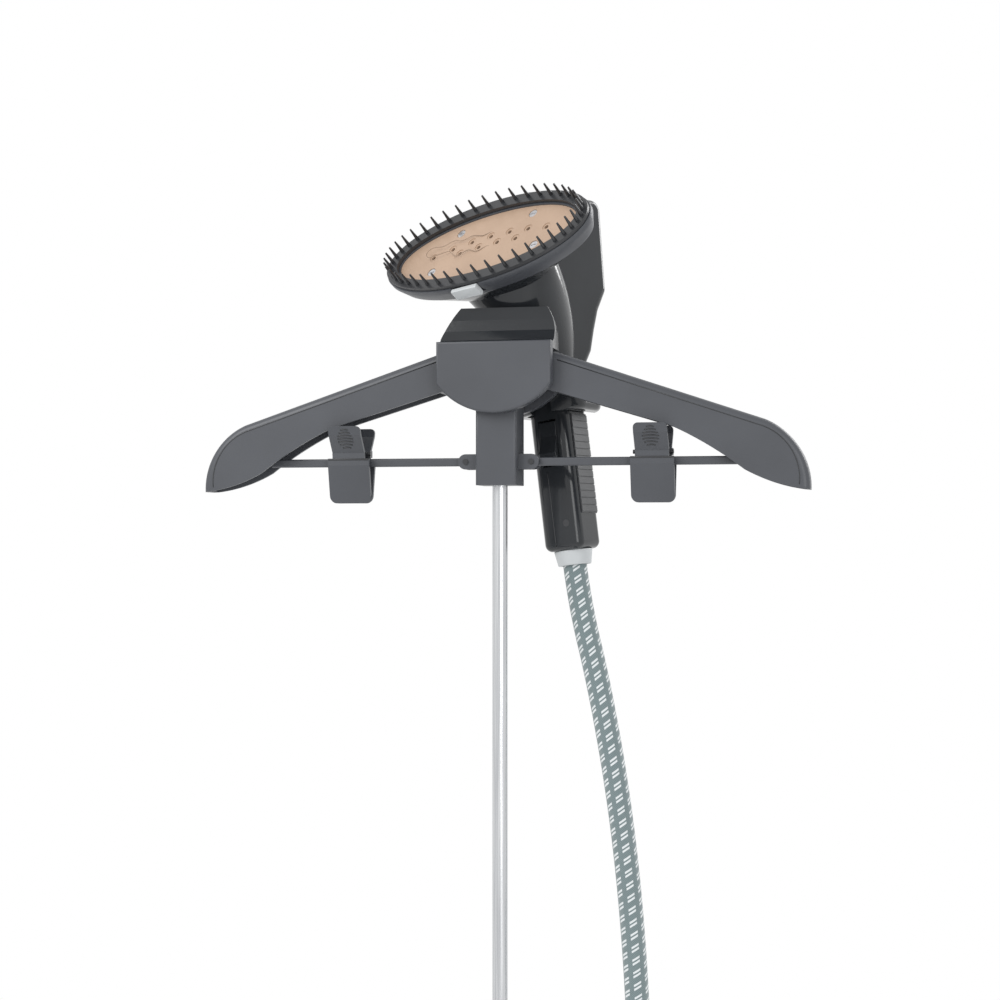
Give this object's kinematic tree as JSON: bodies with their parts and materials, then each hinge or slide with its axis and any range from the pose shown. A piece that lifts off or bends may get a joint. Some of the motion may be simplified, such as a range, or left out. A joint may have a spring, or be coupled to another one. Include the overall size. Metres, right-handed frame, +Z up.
{
  "type": "garment steamer",
  "caption": "Upright garment steamer: wheeled base with water tank, telescopic pole, folding clip hanger and brush-headed steam wand on a braided hose",
  "frame": {"origin": "on the floor under the middle of the bounding box without the hose", "axes": "+Z up, -Y front (the steam plate faces that way), +X to the right seen from the front"},
  "size_m": [0.4422, 0.3, 1.6045],
  "materials": {
    "satin_black": "satin moulded plastic",
    "gloss_black": "polished moulded plastic",
    "tube_metal": "satin anodised",
    "plate_champagne": "champagne non-stick coating",
    "light_grey": "moulded",
    "hose_weave": "braided sleeve with pale flecks",
    "rubber_black": "ribbed soft rubber",
    "nylon_black": "moulded nylon bristles",
    "tank_smoke": "tinted clear plastic",
    "steel": "brushed",
    "cast_alloy": "as cast",
    "valve_white": "moulded",
    "lamp_amber": "clear lens"
  },
  "bodies": {
    "base": {"base_tray": "satin_black", "base_cover": "satin_black", "pole_socket": "satin_black", "wheel_axle": "steel", "front_feet": "rubber_black", "boiler": "cast_alloy", "heating_element": "steel", "steam_pipe": "steel", "valve_seat": "rubber_black", "pilot_lens": "lamp_amber", "inlet_gland": "rubber_black", "hose_port": "light_grey", "hose_relief": "gloss_black", "pole_lower": "tube_metal", "lock_body": "satin_black", "lock_pin": "steel", "steam_hose": "hose_weave"},
    "tank": {"tank_shell": "tank_smoke", "tank_valve": "valve_white", "tank_cap": "gloss_black", "tank_handle": "satin_black"},
    "dial": {"power_dial": "gloss_black"},
    "wheel_l": {"wheel_left": "rubber_black"},
    "wheel_r": {"wheel_right": "rubber_black"},
    "lock": {"lock_lever": "satin_black"},
    "mast": {"pole_upper": "tube_metal", "bracket_front": "satin_black", "bracket_rear": "satin_black", "rest_tray": "gloss_black", "cradle_fork": "gloss_black", "rod_carrier": "satin_black", "arm_pins": "steel", "rod_pins": "nylon_black"},
    "arm_l": {"arm_left": "satin_black"},
    "arm_r": {"arm_right": "satin_black"},
    "rod_l": {"rod_left": "satin_black"},
    "rod_r": {"rod_right": "satin_black"},
    "clip_l": {"clip_left_rear": "satin_black", "clip_left_pin": "nylon_black", "clip_left_spring": "steel"},
    "jaw_l": {"clip_left_front": "satin_black"},
    "clip_r": {"clip_right_rear": "satin_black", "clip_right_pin": "nylon_black", "clip_right_spring": "steel"},
    "jaw_r": {"clip_right_front": "satin_black"},
    "head": {"head_casing": "gloss_black", "head_hood": "gloss_black", "head_bezel": "satin_black", "steam_plate": "plate_champagne", "plate_screws": "steel", "trigger_pin": "steel", "grip_pad": "rubber_black", "hose_collar": "light_grey"},
    "trigger": {"trigger": "gloss_black"},
    "brush": {"brush_ring": "nylon_black", "brush_latch": "light_grey"}
  },
  "joints": [
    {"name": "tank_lift", "type": "slide", "parent": "base", "child": "tank", "axis": [0, 0, 1], "range_m": [0, 0.08]},
    {"name": "dial_turn", "type": "hinge", "parent": "base", "child": "dial", "pos_m": [0, -0.145, 0.092], "axis": [0, -1, 0], "range_deg": [0, 270]},
    {"name": "wheel_left_roll", "type": "hinge", "parent": "base", "child": "wheel_l", "pos_m": [-0.122, 0.12, 0.03], "axis": [1, 0, 0], "continuous": true},
    {"name": "wheel_right_roll", "type": "hinge", "parent": "base", "child": "wheel_r", "pos_m": [0.122, 0.12, 0.03], "axis": [1, 0, 0], "continuous": true},
    {"name": "lock_flip", "type": "hinge", "parent": "base", "child": "lock", "pos_m": [0, 0.011, 0.816], "axis": [-1, 0, 0], "range_deg": [0, 95]},
    {"name": "mast_slide", "type": "slide", "parent": "base", "child": "mast", "axis": [0, 0, 1], "range_m": [-0.42, 0], "deforming": ["steam_hose"]},
    {"name": "arm_left_fold", "type": "hinge", "parent": "mast", "child": "arm_l", "pos_m": [-0.026, 0.03, 1.464], "axis": [0, -1, 0], "range_deg": [0, 42]},
    {"name": "rod_left_fold", "type": "hinge", "parent": "mast", "child": "rod_l", "pos_m": [-0.024, 0.03, 1.4], "axis": [0, -1, 0], "range_deg": [0, 63]},
    {"name": "clip_left_slide", "type": "slide", "parent": "rod_l", "child": "clip_l", "axis": [-1, 0, 0], "range_m": [-0.025, 0]},
    {"name": "clip_left_open", "type": "hinge", "parent": "clip_l", "child": "jaw_l", "pos_m": [-0.111, 0.03, 1.4065], "axis": [-1, 0, 0], "range_deg": [0, 10], "stiffness_Nm_per_rad": 0.2, "springref_deg": -20.05},
    {"name": "arm_right_fold", "type": "hinge", "parent": "mast", "child": "arm_r", "pos_m": [0.026, 0.03, 1.464], "axis": [0, 1, 0], "range_deg": [0, 42]},
    {"name": "rod_right_fold", "type": "hinge", "parent": "mast", "child": "rod_r", "pos_m": [0.024, 0.03, 1.4], "axis": [0, 1, 0], "range_deg": [0, 63]},
    {"name": "clip_right_slide", "type": "slide", "parent": "rod_r", "child": "clip_r", "axis": [1, 0, 0], "range_m": [-0.025, 0]},
    {"name": "clip_right_open", "type": "hinge", "parent": "clip_r", "child": "jaw_r", "pos_m": [0.111, 0.03, 1.4065], "axis": [-1, 0, 0], "range_deg": [0, 10], "stiffness_Nm_per_rad": 0.2, "springref_deg": -20.05},
    {"name": "head_lift", "type": "slide", "parent": "mast", "child": "head", "axis": [-0.1234, 0.0425, 0.9914], "range_m": [0, 0.02]},
    {"name": "trigger_press", "type": "hinge", "parent": "head", "child": "trigger", "pos_m": [0.03067, 0.06951, 1.42721], "axis": [0.9374, -0.3228, 0.1305], "range_deg": [0, 6], "stiffness_Nm_per_rad": 0.3, "springref_deg": -11.46},
    {"name": "brush_unclip", "type": "slide", "parent": "head", "child": "brush", "axis": [-0.3375, -0.7501, 0.5687], "range_m": [0, 0.02]}
  ],
  "couplings": [
    {"joint": "rod_left_fold", "follows": "arm_left_fold", "ratio": 1.5},
    {"joint": "rod_right_fold", "follows": "arm_right_fold", "ratio": 1.5}
  ]
}
